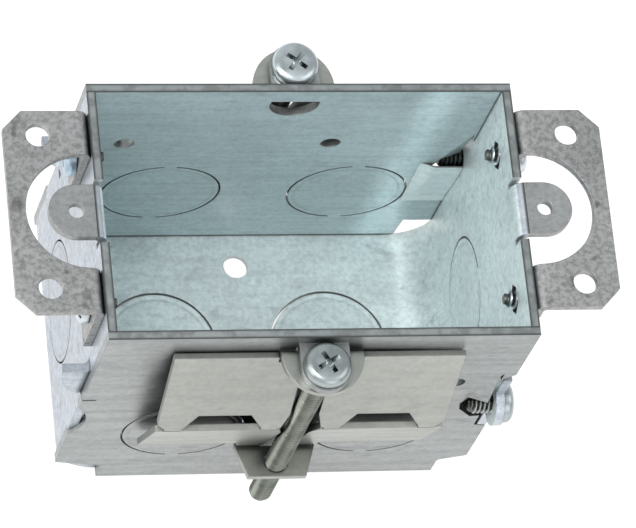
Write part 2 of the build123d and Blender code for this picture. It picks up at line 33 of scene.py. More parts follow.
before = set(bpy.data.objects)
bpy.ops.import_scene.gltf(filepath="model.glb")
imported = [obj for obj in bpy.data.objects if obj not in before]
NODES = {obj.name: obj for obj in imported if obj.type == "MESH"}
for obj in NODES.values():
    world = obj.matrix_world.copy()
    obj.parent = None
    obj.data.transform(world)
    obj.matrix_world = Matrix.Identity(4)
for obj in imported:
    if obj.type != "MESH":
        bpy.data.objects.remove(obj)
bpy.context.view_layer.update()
MM = 0.001


def rgb(red, green, blue):
    return (red, green, blue, 1.0)


# Camera, as fitted to the photograph
CAMERA_AT = Vector((-0.21405, -0.37427, 0.89699))
CAMERA_TARGET = Vector((0.00834, 0.00335, 0.03175))
CAMERA_ROLL = math.radians(27.222)
CAMERA_LENS = 306.5
CAMERA_SENSOR = 36.0
CAMERA_SHIFT = (-0.00377, 0.00094)

# Box: over the end walls, over the side plates, up to the rim, and its sheet
LENGTH = 76.2 * MM
WIDTH = 48.2 * MM
DEPTH = 63.5 * MM
SHEET = 1.6 * MM
END_INSIDE = LENGTH / 2 - SHEET
END_MIDDLE = LENGTH / 2 - SHEET / 2
SIDE_INSIDE = WIDTH / 2 - SHEET
SIDE_MIDDLE = WIDTH / 2 - SHEET / 2
BOX_MIDDLE = (0, 0, 25 * MM)

# Pry-outs: radius, the faint stamped ring just inside it, and where they are
PRY_OUT_R = 11.1 * MM
STAMP_INSET = 1.3 * MM
STAMP_HALF = 0.55 * MM
STAMP_REACH = 4.0 * MM  # the groove shows no further than this from the sheet's middle
BACK_PRY_X = 16.0 * MM
END_PRY_Z = 24.0 * MM
SIDE_PRY_X = 17.4 * MM
SIDE_PRY_Z = 21.1 * MM

# Notch at the far side plate's lower right corner: how far in its top and foot are, and its top's level
NOTCH_TOP_IN = 7.1 * MM
NOTCH_FOOT_IN = 7.8 * MM
NOTCH_LEVEL = 8.3 * MM
NOTCH_BEHIND = 3.0 * MM  # how far the cut goes beyond the plate's inner face

# Lip: the tongue of each side plate, pressed inwards under the gang screw: where it starts, is full, and ends
LIP_GAP = 0.05 * MM  # from the plate's inner face and from the end wall
LIP_X = (28.4 * MM, 31.6 * MM, END_INSIDE - LIP_GAP)
LIP_Z = (17.0 * MM, 30.0 * MM, 33.5 * MM)
LIP_COLUMNS = 14
LIP_ROWS = 22
LIP_IN = 0.9 * MM
LIP_SHEET = 0.3 * MM

# Screws: radius and height of the head, radius of the shank, and pitch of the thread
CLAMP_SCREW = (4.1 * MM, 2.4 * MM, 2.08 * MM, 25.4 / 32 * MM)
GANG_SCREW = (3.7 * MM, 2.2 * MM, 2.0 * MM, 25.4 / 32 * MM)
EAR_SCREW = (3.4 * MM, 2.0 * MM, 1.7 * MM, 25.4 / 24 * MM)

# Thread: its depth, flat root and flanks in pitches, its run-out in pitches, and the tip's chamfer in radii
THREAD_DEPTH = 0.62
THREAD_ROOT = 0.14
THREAD_FLANKS = 0.66
RUN_OUT = 1.2
TIP_CHAMFER = 0.12

# Mesh steps: rings in one pitch, columns round a shank and round a head, and the angle of a sharp edge
RING_STEPS = 8
AROUND = 28
HEAD_AROUND = 56
SHARP_ANGLE = math.radians(38)

# Recess in a screw's head: half length and half width in head radii, and depth in head heights
CROSS = (0.56, 0.105, 0.62)
SLOT = (1.4, 0.10, 0.434)
RECESS_TOP = 1.02  # level of the cut's top, in head heights
RECESS_FOOT = (0.45, 0.7525)  # length and width at the cut's foot, as shares of those at its top

# Sheet colours: inside and outside of the box, side plates, lips and straps, and the two faces of an ear
# The inside tints of the box and the side plates are painted lighter and bluer than the outside ones: painted
# light from the opening
BOX_TINTS_INSIDE_PAINTED_LIT = (rgb(0.86, 0.94, 0.94), rgb(0.58, 0.62, 0.67))
PLATE_TINTS_INSIDE_PAINTED_LIT = (rgb(0.56, 0.66, 0.675), rgb(0.40, 0.415, 0.41))
# The lips' inner tint, near white, is a painted highlight
LIP_TINTS_PAINTED_HIGHLIGHT = (rgb(0.92, 1.0, 1.0), rgb(0.30, 0.31, 0.305))
# The straps' inner tint, nearly black, is painted shade in the gap between strap and plate
STRAP_TINTS_INSIDE_PAINTED_SHADE = (rgb(0.10, 0.115, 0.11), rgb(0.42, 0.43, 0.395))
EAR_TINTS = (rgb(0.40, 0.405, 0.40), rgb(0.42, 0.42, 0.41))
TAB_TINT = rgb(0.40, 0.405, 0.40)
CUT_EDGE = rgb(0.30, 0.28, 0.26)
RIM_GREY = rgb(0.25, 0.265, 0.26)
RIM_LIGHT = rgb(0.35, 0.375, 0.37)
RIM_DARK = rgb(0.09, 0.095, 0.09)
# Tint of the painted shade in the stamped rings' grooves
STAMP_GROOVE_SHADE_TINT = rgb(0.45, 0.47, 0.48)

# Marks on the sheet, in cells per metre: soft blotches and clouds, worn scuffs, spangle and fine speckle
CLOUD_SCALE = 16.0
BLOTCH_SCALE = 55.0
SCUFF_SCALE = 420.0
SPANGLE_SCALE = 620.0
SPECKLE_SCALE = 1100.0

# What each mark does to the brightness: the noise from and to which it goes, and the change at both
BLOTCH_TONE = (0.35, 0.68, -0.07, 0.05)
CLOUD_TONE = (0.30, 0.70, -0.06, 0.04)
LINES_TONE = (0.34, 0.62, -0.09, 0.03)
FLECK_TONE = (0.60, 0.74, 0.0, -0.22)
SPECKLE_TONE = (0.36, 0.60, -0.13, 0.04)
SPANGLE_TONE = (0.0, 1.0, -0.035, 0.02)

# The same for the roughness
BLOTCH_ROUGH = (0.30, 0.70, -0.06, 0.08)
LINES_ROUGH = (0.35, 0.65, 0.05, -0.04)

# Relief of each mark, strength and depth of the whole relief, and how much painted shade darkens the stamped
# ring's groove
LINES_RELIEF = 0.22
BLOTCH_RELIEF = 0.5
STAMP_RELIEF = 1.6
STAMP_SHADE = 0.22
SHEET_RELIEF = {"Strength": 0.35, "Distance": 0.10 * MM}

# Rolling marks, in cells per metre along X, Y and Z, and what flecks take of these and add to them
FLECK_SHARE = 0.45
FLECK_MORE = 160
BOX_GRAIN = (60, 520, 520)
PLATE_GRAIN = (40, 600, 700)
STRAP_GRAIN = (50, 420, 420)
EAR_GRAIN = (300, 90, 300)

# Screw colours, lighter and darker, what the shanks are tinted with, and the tints of the painted shade in
# the screws' hollows and thread roots
NEAR_CLAMP_TINTS = (rgb(0.43, 0.47, 0.47), rgb(0.31, 0.34, 0.34))
FAR_CLAMP_TINTS = (rgb(0.60, 0.66, 0.67), rgb(0.42, 0.46, 0.47))
GANG_TINTS = (rgb(0.46, 0.50, 0.51), rgb(0.33, 0.36, 0.37))
SILVER_TINTS = (rgb(0.72, 0.77, 0.80), rgb(0.52, 0.56, 0.58))
BLUE_TINTS = (rgb(0.50, 0.62, 0.70), rgb(0.34, 0.44, 0.52))
CLAMP_SHANK = rgb(0.60, 0.58, 0.50)
NEAR_GANG_SHANK = rgb(1, 1, 0.97)
# The far gang screw's shank, nearly black, is painted shade in the pocket under the plate's lip
FAR_GANG_SHANK_PAINTED_SHADE = rgb(0.20, 0.23, 0.23)
PLAIN_SHANK = rgb(1, 1, 1)
SCREW_PAINTED_SHADE_TINT = rgb(0.35, 0.36, 0.37)
# Painted shade in the thread roots, and how much of its tint they take
THREAD_ROOT_PAINTED_SHADE = rgb(0.075, 0.066, 0.055)
ROOT_SHADE_SHARE = 0.9

# Plating of the screws: cells per metre of its soft and fine marks, and what they do, as for the sheet
PLATING_SCALE = 260.0
PLATING_TONE = (0.35, 0.65)
PLATING_ROUGH = (0.3, 0.7, 0.21, 0.36)
PLATING_FINE = 1600.0
PLATING_RELIEF = {"Strength": 0.25, "Distance": 0.03 * MM}

# Where the painted shade in a thread's roots starts and is full, in pitches below the crest, and the level
# under the head
ROOT_SHADE_FROM = 0.06
ROOT_SHADE_FULL = 0.52
HEAD_FOOT = -0.05 * MM

# Painted shade in hollows between sheets and in screws: how far a hollow reaches, and how dark the painted
# shade makes the sheet deep inside it
PAINTED_SHADE_REACH = 7.0 * MM
SCREW_PAINTED_SHADE_REACH = 0.7 * MM
PAINTED_SHADE_LEVEL = 0.22
PAINTED_SHADE_RANGE = (0.08, 0.60)
SCREW_PAINTED_SHADE_RANGE = (0.25, 0.85)

# Cut edges and corners: their radius, the cosines of the face's turn at which they start to show and show in
# full, and how bare they are between and in the scuffs
EDGE_RADIUS = 0.28 * MM
EDGE_TURN = (0.985, 0.86)
SCUFF_RANGE = (0.38, 0.60)
SCUFF_BARE = (0.25, 0.8)

# The sheet is duller inside the box than outside
METALLIC_INSIDE = 0.45
METALLIC_OUTSIDE = 0.88

# Where a face turns from inside to outside: along its piece's axis, and in the body seen from its middle
FACING_RANGE = (-0.75, -0.25)
FACING_MARGIN = 4.0 * MM

# Side plates inside: x, half width and gain of the upright band of painted sheen, and where the dark joints
# show
PAINTED_SHEEN_X = 26 * MM
PAINTED_SHEEN_HALF = 6 * MM
PAINTED_SHEEN_GAIN = 1.5
SEAM_Z = (2.0 * MM, 2.3 * MM)
SEAM_X = (END_INSIDE - 0.5 * MM, END_INSIDE - 0.2 * MM)
SEAM_SHADE = 0.2
SEAM_CORNER = 0.8  # the joint at the end wall, as a share of the one at the back

# Where the tabs and the rim's cut edge show, and how far aside of the sheet's middle the rim darkens
TAB_X = LENGTH / 2 + 0.2 * MM
TAB_Z = 59.0 * MM
RIM_Z = (DEPTH - 0.25 * MM, DEPTH - 0.05 * MM)
RIM_END_X = LENGTH / 2 + 0.3 * MM
RIM_ASIDE = (0.30 * MM, 0.78 * MM)

# Ground: half its side, its level just under the box, and its own glow, so that it looks white
GROUND_HALF = 1.6
GROUND_Z = -0.2 * MM
GROUND_WHITE = rgb(0.86, 0.86, 0.86)
GROUND_GLOW = 1.25
GLOW_SHARE = 0.72

# Light from all round, and where the lamps point
SKY_TINT = rgb(0.93, 0.97, 1.0)
SKY_STRENGTH = 0.74
LAMP_TARGET = (0, 0, 0.03)
OPENING_TARGET = (0.01, 0, 0.02)


def make_camera():
    data = bpy.data.cameras.new("camera")
    data.lens = CAMERA_LENS
    data.sensor_width = CAMERA_SENSOR
    data.shift_x, data.shift_y = CAMERA_SHIFT
    data.clip_start = 0.01
    data.clip_end = 50
    camera = bpy.data.objects.new("camera", data)
    bpy.context.scene.collection.objects.link(camera)
    forward = (CAMERA_TARGET - CAMERA_AT).normalized()
    level = forward.cross(Vector((0, 0, 1))).normalized()
    upright = level.cross(forward)
    turned = Matrix.Rotation(CAMERA_ROLL, 3, -forward)
    right = turned @ level
    up = turned @ upright
    rotation = Matrix((right, up, -forward)).transposed()
    camera.matrix_world = Matrix.Translation(CAMERA_AT) @ rotation.to_4x4()
    bpy.context.scene.camera = camera


class Shader:
    """The nodes of a material or world: add() makes one, and sockets or numbers feed its inputs."""

    def __init__(self, owner):
        owner.use_nodes = True
        self.owner = owner
        self.tree = owner.node_tree
        self.tree.nodes.clear()

    def add(self, kind, settings=None, **inputs):
        """An input is named by its own name, with _ for a space, or by _ and its number."""
        node = self.tree.nodes.new("ShaderNode" + kind)
        for key, value in (settings or {}).items():
            setattr(node, key, value)
        for key, value in inputs.items():
            socket = node.inputs[int(key[1:])] if key[0] == "_" else node.inputs[key.replace("_", " ")]
            if isinstance(value, bpy.types.NodeSocket):
                self.tree.links.new(value, socket)
            else:
                socket.default_value = value
        return node

    def maths(self, operation, first, second=0.0, clamp=False):
        return self.add("Math", {"operation": operation, "use_clamp": clamp}, _0=first, _1=second).outputs[0]

    def times(self, first, second):
        return self.maths("MULTIPLY", first, second)

    def plus(self, first, second, clamp=False):
        return self.maths("ADD", first, second, clamp)

    def distance(self, first, second):
        return self.maths("ABSOLUTE", self.maths("SUBTRACT", first, second))

    def vector(self, operation, first, second):
        return self.add("VectorMath", {"operation": operation}, _0=first, _1=second).outputs["Vector"]

    def dot(self, first, second):
        return self.add("VectorMath", {"operation": "DOT_PRODUCT"}, _0=first, _1=second).outputs["Value"]

    def size(self, vector):
        return self.add("VectorMath", {"operation": "LENGTH"}, _0=vector).outputs["Value"]

    def parts(self, vector):
        return self.add("SeparateXYZ", Vector=vector).outputs

    def blend(self, factor, first, second, mode="MIX"):
        settings = {"data_type": "RGBA", "blend_type": mode}
        return self.add("Mix", settings, Factor=factor, _6=first, _7=second).outputs[2]

    def tinted(self, colour, tint):
        return self.blend(1.0, colour, tint, "MULTIPLY")

    def ramp(self, value, low, high, out_low=0.0, out_high=1.0, kind="SMOOTHSTEP"):
        limits = {"From_Min": low, "From_Max": high, "To_Min": out_low, "To_Max": out_high}
        return self.add("MapRange", {"interpolation_type": kind}, Value=value, **limits).outputs[0]

    def noise(self, place, scale, stretch=(1, 1, 1), detail=3.0, rough=0.55, offset=(0, 0, 0)):
        moved = self.add("Mapping", Vector=place, Scale=stretch, Location=offset).outputs[0]
        return self.add("TexNoise", Vector=moved, Scale=scale, Detail=detail, Roughness=rough).outputs["Fac"]

    def occlusion(self, reach, samples):
        """1 in the open and 0 where sheets or threads close in within this reach."""
        return self.add("AmbientOcclusion", {"samples": samples}, Distance=reach).outputs["AO"]

    def finish(self, surface, kind="OutputMaterial"):
        self.add(kind, Surface=surface)
        return self.owner


def face_outside(s, place, normal, out_axis):
    """1 on faces that look along out_axis, or if it is None away from the box's middle, and 0 on the rest."""
    if out_axis is None:
        from_middle = s.vector("SUBTRACT", place, BOX_MIDDLE)
        return s.ramp(s.dot(normal, from_middle), -FACING_MARGIN, FACING_MARGIN)
    return s.ramp(s.dot(normal, out_axis), *FACING_RANGE)


def mottled(s, place, shift, grain, blotch, lines, mottle, streak):
    """Brightness of the zinc: blotches, rolling lines, dark flecks, speckle, spangle, and painted shade in
    hollows.
    """
    cloud = s.noise(place, CLOUD_SCALE, detail=2.0, offset=shift)
    fleck_grain = [cells * FLECK_SHARE + FLECK_MORE for cells in grain]
    fleck = s.noise(place, 1.0, stretch=fleck_grain, detail=2.0, offset=shift)
    speckle = s.noise(place, SPECKLE_SCALE, detail=3.0, rough=0.7, offset=shift)
    crystals = s.add("TexVoronoi", {"feature": "F1"}, Vector=place, Scale=SPANGLE_SCALE).outputs["Color"]
    spangle = s.add("SeparateColor", Color=crystals).outputs[0]
    # painted shade: the sheet darkens where sheets close in
    open_sky = s.occlusion(PAINTED_SHADE_REACH, samples=8)
    level = s.ramp(open_sky, *PAINTED_SHADE_RANGE, PAINTED_SHADE_LEVEL, 1.0)
    marks = ((blotch, BLOTCH_TONE, 1), (cloud, CLOUD_TONE, 1), (lines, LINES_TONE, streak),
             (fleck, FLECK_TONE, mottle), (speckle, SPECKLE_TONE, mottle), (spangle, SPANGLE_TONE, 1))
    for mark, (low, high, low_change, high_change), strength in marks:
        tone = s.ramp(mark, low, high, 1 + low_change * strength, 1 + high_change * strength)
        level = s.times(level, tone)
    return level


def plate_painted_sheen_and_joints(s, spot, level, inside):
    """Inside a side plate: an upright band of painted sheen, and dark joints with the back and the right end
    wall.
    """
    # painted sheen: a lighter upright band inside the plate
    painted_sheen = s.times(s.ramp(s.distance(spot[0], PAINTED_SHEEN_X), 0.0, PAINTED_SHEEN_HALF, 1.0, 0.0), inside)
    level = s.times(level, s.ramp(painted_sheen, 0.0, 1.0, 1.0, PAINTED_SHEEN_GAIN, "LINEAR"))
    foot = s.times(s.ramp(spot[2], *SEAM_Z, 1.0, 0.0), inside)
    corner = s.times(s.ramp(spot[0], *SEAM_X), inside)
    joint = s.maths("MAXIMUM", foot, s.times(corner, SEAM_CORNER))
    return s.times(level, s.ramp(joint, 0.0, 1.0, 1.0, SEAM_SHADE))


def tab_colour(s, spot, tint):
    """The device tabs, which stand out beyond the end walls, have the ears' tint."""
    beyond = s.maths("GREATER_THAN", s.maths("ABSOLUTE", spot[0]), TAB_X)
    high = s.maths("GREATER_THAN", spot[2], TAB_Z)
    return s.blend(s.times(beyond, high), tint, TAB_TINT)


def rim_colour(s, spot, colour, scuff, axis, middle):
    """The cut edge round the opening, darker towards both faces. middle is the sheet's, along the axis."""
    on_wall = s.maths("LESS_THAN", s.maths("ABSOLUTE", spot[0]), RIM_END_X)
    at_rim = s.times(s.ramp(spot[2], *RIM_Z), on_wall)
    aside = s.distance(s.maths("ABSOLUTE", spot[axis]), middle)
    worn = s.blend(scuff, RIM_GREY, RIM_LIGHT)
    return s.blend(at_rim, colour, s.blend(s.ramp(aside, *RIM_ASIDE), worn, RIM_DARK))


def stamped_ring(s, place, colour, height, centre, axis):
    """Adds the groove inside one pry-out, whose axis is the given one, to the relief, and painted shade in it
    to the colour.
    """
    keep = [1.0, 1.0, 1.0]
    keep[axis] = 0.0
    offset = s.vector("SUBTRACT", place, centre)
    away = s.size(s.vector("MULTIPLY", offset, keep))
    near = s.maths("LESS_THAN", s.maths("ABSOLUTE", s.parts(offset)[axis]), STAMP_REACH)
    ring = s.distance(away, PRY_OUT_R - STAMP_INSET)
    groove = s.times(s.ramp(ring, 0.0, STAMP_HALF, 1.0, 0.0), near)
    height = s.maths("SUBTRACT", height, s.times(groove, STAMP_RELIEF))
    # painted shade in the groove
    colour = s.blend(s.times(groove, STAMP_SHADE), colour, s.tinted(colour, STAMP_GROOVE_SHADE_TINT))
    return colour, height


def galvanised(name, tints, out_axis, grain, pry_outs=(), roughness=0.40, mottle=1.0, streak=1.0,
               rim=None, tabs=False, plate=False, seed=0.0):
    """Zinc-coated sheet.

    tints are those of its inner and outer faces, told apart by out_axis, as in face_outside.
    grain stretches the rolling marks, and seed moves all marks about.
    mottle strengthens the flecks, and streak the rolling marks.
    pry_outs holds the centre and the axis number of each stamped ring.
    rim is the axis number and middle of the sheet whose cut edge shows at the opening.
    tabs and plate say whether the sheet has the device tabs, or is a side plate.
    """
    s = Shader(bpy.data.materials.new(name))
    place = s.add("TexCoord").outputs["Object"]
    normal = s.add("NewGeometry").outputs["Normal"]
    spot = s.parts(place)
    shift = (seed, seed * 0.7, seed * 1.3)
    outside = face_outside(s, place, normal, out_axis)
    blotch = s.noise(place, BLOTCH_SCALE, detail=4.0, offset=shift)
    lines = s.noise(place, 1.0, stretch=grain, detail=5.0, rough=0.7, offset=shift)

    # colour of the faces, whose inner tint holds painted light on the box, the side plates and the lips, and
    # painted shade on the straps
    tint = s.blend(outside, *tints)
    if tabs:
        tint = tab_colour(s, spot, tint)
    level = mottled(s, place, shift, grain, blotch, lines, mottle, streak)
    if plate:
        level = plate_painted_sheen_and_joints(s, spot, level, s.maths("SUBTRACT", 1.0, outside))
    grey = s.add("CombineColor", Red=level, Green=level, Blue=level).outputs[0]
    colour = s.tinted(tint, grey)

    # cut edges and rubbed corners
    soft = s.add("Bevel", {"samples": 4}, Radius=EDGE_RADIUS).outputs[0]
    rubbed = s.ramp(s.dot(soft, normal), *EDGE_TURN)
    scuff = s.ramp(s.noise(place, SCUFF_SCALE, detail=3.0, offset=shift), *SCUFF_RANGE)
    colour = s.blend(s.times(rubbed, s.ramp(scuff, 0, 1, *SCUFF_BARE)), colour, CUT_EDGE)
    if rim:
        colour = rim_colour(s, spot, colour, scuff, *rim)

    # relief: rolling lines, a slight waviness, and the stamped rings
    height = s.plus(s.times(lines, LINES_RELIEF * streak), s.times(blotch, BLOTCH_RELIEF))
    for centre, axis in pry_outs:
        colour, height = stamped_ring(s, place, colour, height, centre, axis)
    bump = s.add("Bump", Height=height, Normal=soft, **SHEET_RELIEF).outputs[0]

    uneven = s.plus(s.ramp(blotch, *BLOTCH_ROUGH), s.ramp(lines, *LINES_ROUGH))
    rough = s.plus(uneven, roughness, clamp=True)
    metallic = s.ramp(outside, 0.0, 1.0, METALLIC_INSIDE, METALLIC_OUTSIDE)
    surface = s.add("BsdfPrincipled", Base_Color=colour, Roughness=rough, Metallic=metallic, Normal=bump)
    return s.finish(surface.outputs[0])


def bright_zinc(name, size, tints, shank):
    """Plated screw, shinier than the sheet, with painted shade in the thread roots. shank tints all below the
    head.
    """
    radius, pitch = size[2:]
    s = Shader(bpy.data.materials.new(name))
    place = s.add("TexCoord").outputs["Object"]
    spot = s.parts(place)
    tone = s.noise(place, PLATING_SCALE, detail=3.0)
    fine = s.noise(place, PLATING_FINE, detail=2.0)
    light, dark = tints
    colour = s.blend(s.ramp(tone, *PLATING_TONE), dark, light)
    # painted shade where the head's recess and the thread close in
    open_sky = s.ramp(s.occlusion(SCREW_PAINTED_SHADE_REACH, samples=6), *SCREW_PAINTED_SHADE_RANGE)
    colour = s.blend(open_sky, s.tinted(colour, SCREW_PAINTED_SHADE_TINT), colour)
    below = s.maths("LESS_THAN", spot[2], HEAD_FOOT)
    colour = s.blend(below, colour, s.tinted(colour, shank))
    # painted shade in the thread roots, below the head
    away = s.size(s.add("CombineXYZ", X=spot[0], Y=spot[1], Z=0.0).outputs[0])
    root = s.times(s.ramp(away, radius - ROOT_SHADE_FULL * pitch, radius - ROOT_SHADE_FROM * pitch, 1.0, 0.0), below)
    colour = s.blend(s.times(root, ROOT_SHADE_SHARE), colour, THREAD_ROOT_PAINTED_SHADE)
    bump = s.add("Bump", Height=fine, **PLATING_RELIEF).outputs[0]
    rough = s.ramp(tone, *PLATING_ROUGH)
    surface = s.add("BsdfPrincipled", Base_Color=colour, Roughness=rough, Metallic=1.0, Normal=bump)
    return s.finish(surface.outputs[0])


def mesh_object(name, bm, material):
    mesh = bpy.data.meshes.new(name)
    bm.normal_update()
    bm.to_mesh(mesh)
    bm.free()
    mesh.shade_smooth()
    mesh.set_sharp_from_angle(angle=SHARP_ANGLE)
    mesh.materials.append(material)
    obj = bpy.data.objects.new(name, mesh)
    bpy.context.scene.collection.objects.link(obj)
    return obj


def lathe(bm, profile, around):
    """Turns (radius, height) points round Z. A radius of 0 closes the end."""
    turn = [2 * math.pi * i / around for i in range(around)]
    rings = []
    for radius, height in profile:
        if radius == 0:
            rings.append([bm.verts.new((0, 0, height))])
        else:
            rings.append([bm.verts.new((radius * math.cos(a), radius * math.sin(a), height)) for a in turn])
    for low, high in zip(rings, rings[1:]):
        for i in range(around):
            j = (i + 1) % around
            if len(low) == 1:
                bm.faces.new((low[0], high[j], high[i]))
            elif len(high) == 1:
                bm.faces.new((low[i], low[j], high[0]))
            else:
                bm.faces.new((low[i], low[j], high[j], high[i]))


def pan_head(radius, height):
    """Profile of a pan head that stands on z = 0, from its centre underneath to its centre on top."""
    points = [(0, 0), (radius * 0.97, 0), (radius, height * 0.06), (radius, height * 0.42)]
    for step in range(1, 7):
        angle = math.radians(15 * step)
        points.append((radius * (0.66 + 0.34 * math.cos(angle)), height * (0.42 + 0.50 * math.sin(angle))))
    return points + [(radius * 0.35, height * 0.98), (0, height)]


def recess(number, shape, head_radius, head_height, angle, material):
    """One arm of a screw's recess, to cut with: a bar that narrows as it goes down."""
    length, width, depth = shape
    top = head_height * RECESS_TOP
    bm = bmesh.new()
    corners = []
    for (long, wide), z in (((1, 1), top), (RECESS_FOOT, top - head_height * depth)):
        half_length = head_radius * length * long
        half_width = head_radius * width * wide
        for x, y in ((-1, -1), (1, -1), (1, 1), (-1, 1)):
            point = Vector((x * half_length, y * half_width, z))
            corners.append(bm.verts.new(Matrix.Rotation(angle, 3, "Z") @ point))
    for face in ((0, 1, 2, 3), (7, 6, 5, 4), (0, 4, 5, 1), (1, 5, 6, 2), (2, 6, 7, 3), (3, 7, 4, 0)):
        bm.faces.new([corners[i] for i in face])
    bmesh.ops.recalc_face_normals(bm, faces=bm.faces)
    return mesh_object(f"cut_{number}", bm, material)


def cut_out(obj, cutters):
    """Takes each cutter away from obj's mesh."""
    for cutter in cutters:
        modifier = obj.modifiers.new("cut", "BOOLEAN")
        modifier.operation = "DIFFERENCE"
        modifier.solver = "EXACT"
        modifier.object = cutter
    bpy.context.view_layer.update()
    done = bpy.data.meshes.new_from_object(obj.evaluated_get(bpy.context.evaluated_depsgraph_get()))
    obj.modifiers.clear()
    obj.data = done
    for cutter in cutters:
        bpy.data.objects.remove(cutter)


def threaded_shank(bm, radius, length, pitch):
    """A rolled thread from z = 0 down to -length, with a plain chamfered tip."""
    depth = THREAD_DEPTH * pitch
    rings = []
    count = int(length / pitch * RING_STEPS)
    for i in range(count + 1):
        z = -length * i / count
        fade = min(1.0, (length + z) / (RUN_OUT * pitch) + 0.05)
        ring = []
        for j in range(AROUND):
            phase = (z / pitch + j / AROUND) % 1.0
            tooth = 1 - abs(2 * phase - 1)
            tooth = min(1.0, max(0.0, (tooth - THREAD_ROOT) / THREAD_FLANKS))
            r = radius - depth + depth * tooth * fade - TIP_CHAMFER * radius * (1 - fade)
            angle = 2 * math.pi * j / AROUND
            ring.append(bm.verts.new((r * math.cos(angle), r * math.sin(angle), z)))
        rings.append(ring)
    for low, high in zip(rings, rings[1:]):
        for i in range(AROUND):
            j = (i + 1) % AROUND
            bm.faces.new((low[j], low[i], high[i], high[j]))
    bm.faces.new(rings[0])
    bm.faces.new(rings[-1][::-1])


def machine_screw(node, body, axis, size, material, turned, slotted):
    """Stands for a CAD screw: its head's top and its tip are the CAD screw's."""
    head_radius, head_height, shank_radius, pitch = size
    low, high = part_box(node)
    centre = (low + high) / 2
    axis = Vector(axis)
    length = abs((high - low).dot(axis))
    seat = centre + axis * (length / 2 - head_height)
    bm = bmesh.new()
    lathe(bm, pan_head(head_radius, head_height), HEAD_AROUND)
    head = mesh_object(node + "_head", bm, material)
    arms = [(CROSS, turned), (CROSS, turned + math.pi / 2)]
    if slotted:
        arms.append((SLOT, turned))
    cut_out(head, [recess(number, shape, head_radius, head_height, angle, material)
                   for number, (shape, angle) in enumerate(arms)])
    bm = bmesh.new()
    bm.from_mesh(head.data)
    threaded_shank(bm, shank_radius, length - head_height, pitch)
    screw = mesh_object(node + "_threaded", bm, material)
    bpy.data.objects.remove(head)
    screw.matrix_world = Matrix.Translation(seat) @ axis.to_track_quat("Z", "Y").to_matrix().to_4x4()
    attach(screw, body)
    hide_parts(node)


def dress(node, material):
    """Gives a CAD node its finish."""
    obj = NODES[node]
    obj.data.materials.clear()
    obj.data.materials.append(material)


def lip_depth(x, z):
    """How far the plate's tongue stands in from the plate's inner face, at a place on the plate."""
    depth = LIP_IN
    for place, (start, full, _) in ((x, LIP_X), (z, LIP_Z)):
        share = min(1.0, (place - start) / (full - start))
        depth *= share * share * (3 - 2 * share)
    return depth


def plate_lip(name, side, material):
    """The smooth tongue that hides the lower half of the gang screw from inside the box."""
    bm = bmesh.new()
    layers = []
    for back in (0.0, LIP_SHEET):
        layer = []
        for i in range(LIP_COLUMNS + 1):
            x = LIP_X[0] + (LIP_X[2] - LIP_X[0]) * i / LIP_COLUMNS
            for j in range(LIP_ROWS + 1):
                z = LIP_Z[0] + (LIP_Z[2] - LIP_Z[0]) * j / LIP_ROWS
                y = SIDE_INSIDE - LIP_GAP - lip_depth(x, z) + back
                layer.append(bm.verts.new((x, side * y, z)))
        layers.append(layer)
    stride = LIP_ROWS + 1
    for layer in layers:
        for i in range(LIP_COLUMNS):
            for j in range(LIP_ROWS):
                k = i * stride + j
                bm.faces.new([layer[n] for n in (k, k + 1, k + stride + 1, k + stride)])
    last_column = LIP_COLUMNS * stride
    border = list(range(LIP_ROWS))
    border += [i * stride + LIP_ROWS for i in range(LIP_COLUMNS)]
    border += [last_column + j for j in range(LIP_ROWS, 0, -1)]
    border += [i * stride for i in range(LIP_COLUMNS, 0, -1)]
    for this, following in zip(border, border[1:] + border[:1]):
        bm.faces.new((layers[0][this], layers[0][following], layers[1][following], layers[1][this]))
    bmesh.ops.recalc_face_normals(bm, faces=bm.faces)
    lip = mesh_object(f"{name}_plate_lip", bm, material)
    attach(lip, "root")


def notched_plate(material):
    """The far side plate with the larger notch at its lower right corner."""
    low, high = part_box("far_side_plate")
    plate = bpy.data.objects.new("far_plate_notched", NODES["far_side_plate"].data.copy())
    bpy.context.scene.collection.objects.link(plate)
    plate.matrix_world = NODES["far_side_plate"].matrix_world
    end, foot = high.x, low.z - MM
    points = [(end - NOTCH_FOOT_IN, foot), (end - NOTCH_TOP_IN, NOTCH_LEVEL),
              (end + MM, NOTCH_LEVEL), (end + MM, foot)]
    bm = bmesh.new()
    across = (SIDE_INSIDE - MM, SIDE_INSIDE + NOTCH_BEHIND)
    faces = [[bm.verts.new((x, y, z)) for x, z in points] for y in across]
    bm.faces.new(faces[0])
    bm.faces.new(faces[1][::-1])
    for i in range(4):
        j = (i + 1) % 4
        bm.faces.new((faces[0][j], faces[0][i], faces[1][i], faces[1][j]))
    bmesh.ops.recalc_face_normals(bm, faces=bm.faces)
    cut_out(plate, [mesh_object("cut_notch", bm, material)])
    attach(plate, "root")
    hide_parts("far_side_plate")


def make_body():
    rings = [((side * BACK_PRY_X, 0, 0), 2) for side in (-1, 1)]
    rings += [((side * END_MIDDLE, 0, END_PRY_Z), 0) for side in (-1, 1)]
    body = galvanised("galvanised_body", BOX_TINTS_INSIDE_PAINTED_LIT, None, BOX_GRAIN, rings, rim=(0, END_MIDDLE), tabs=True)
    dress("box_body", body)


